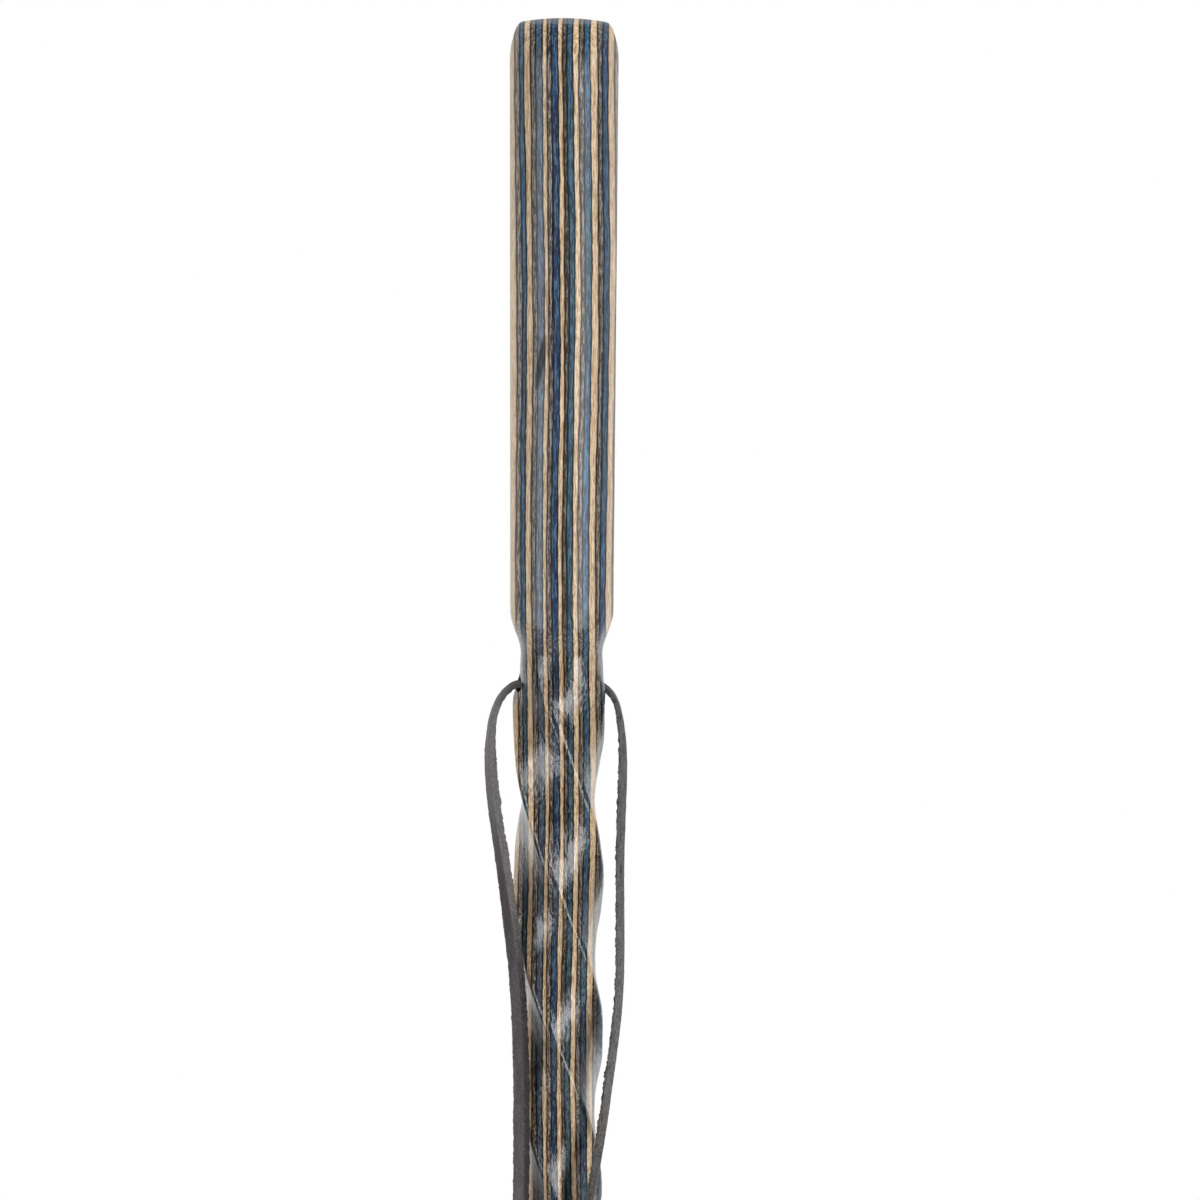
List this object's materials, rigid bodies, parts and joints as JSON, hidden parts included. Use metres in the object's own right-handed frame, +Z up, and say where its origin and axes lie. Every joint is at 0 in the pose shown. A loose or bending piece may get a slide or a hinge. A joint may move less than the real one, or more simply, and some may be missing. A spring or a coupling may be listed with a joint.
{
  "type": "hiking staff",
  "caption": "Hiking staff of glued, dyed veneers with a round grip, a carved left-hand twist below it, a leather wrist strap through the neck and a rubber ferrule at the foot.",
  "frame": {"origin": "middle of the ferrule's foot, where the staff meets the ground", "axes": "+Z up along the stick to the crown, -Y to the front where the strap hangs, +X to the right of the front, across the veneers"},
  "size_m": [0.0445, 0.0455, 1.219],
  "materials": {
    "veneer_natural": "gloss varnish",
    "veneer_grey": "gloss varnish",
    "veneer_blue": "gloss varnish",
    "ferrule_rubber": "matt",
    "washer_steel": "plain",
    "strap_leather": "matt"
  },
  "bodies": {
    "staff": {"ply_01_natural": "veneer_natural", "ply_02_grey": "veneer_grey", "ply_03_blue": "veneer_blue", "ply_04_natural": "veneer_natural", "ply_05_grey": "veneer_grey", "ply_06_blue": "veneer_blue", "ply_07_natural": "veneer_natural", "ply_08_grey": "veneer_grey", "ply_09_blue": "veneer_blue", "ply_10_natural": "veneer_natural", "ply_11_grey": "veneer_grey", "ply_12_blue": "veneer_blue", "ply_13_natural": "veneer_natural", "ply_14_grey": "veneer_grey", "ply_15_blue": "veneer_blue", "ply_16_natural": "veneer_natural", "ply_17_grey": "veneer_grey", "ply_18_blue": "veneer_blue", "ply_19_natural": "veneer_natural", "ply_20_grey": "veneer_grey", "rubber_ferrule": "ferrule_rubber", "ferrule_washer": "washer_steel"},
    "strap": {"strap_lace": "strap_leather", "strap_knot": "strap_leather", "strap_tails": "strap_leather"}
  },
  "joints": [
    {"name": "strap_swing", "type": "hinge", "parent": "staff", "child": "strap", "pos_m": [0, 0, 1.0175], "axis": [-1, 0, 0], "range_deg": [0, 150]}
  ]
}
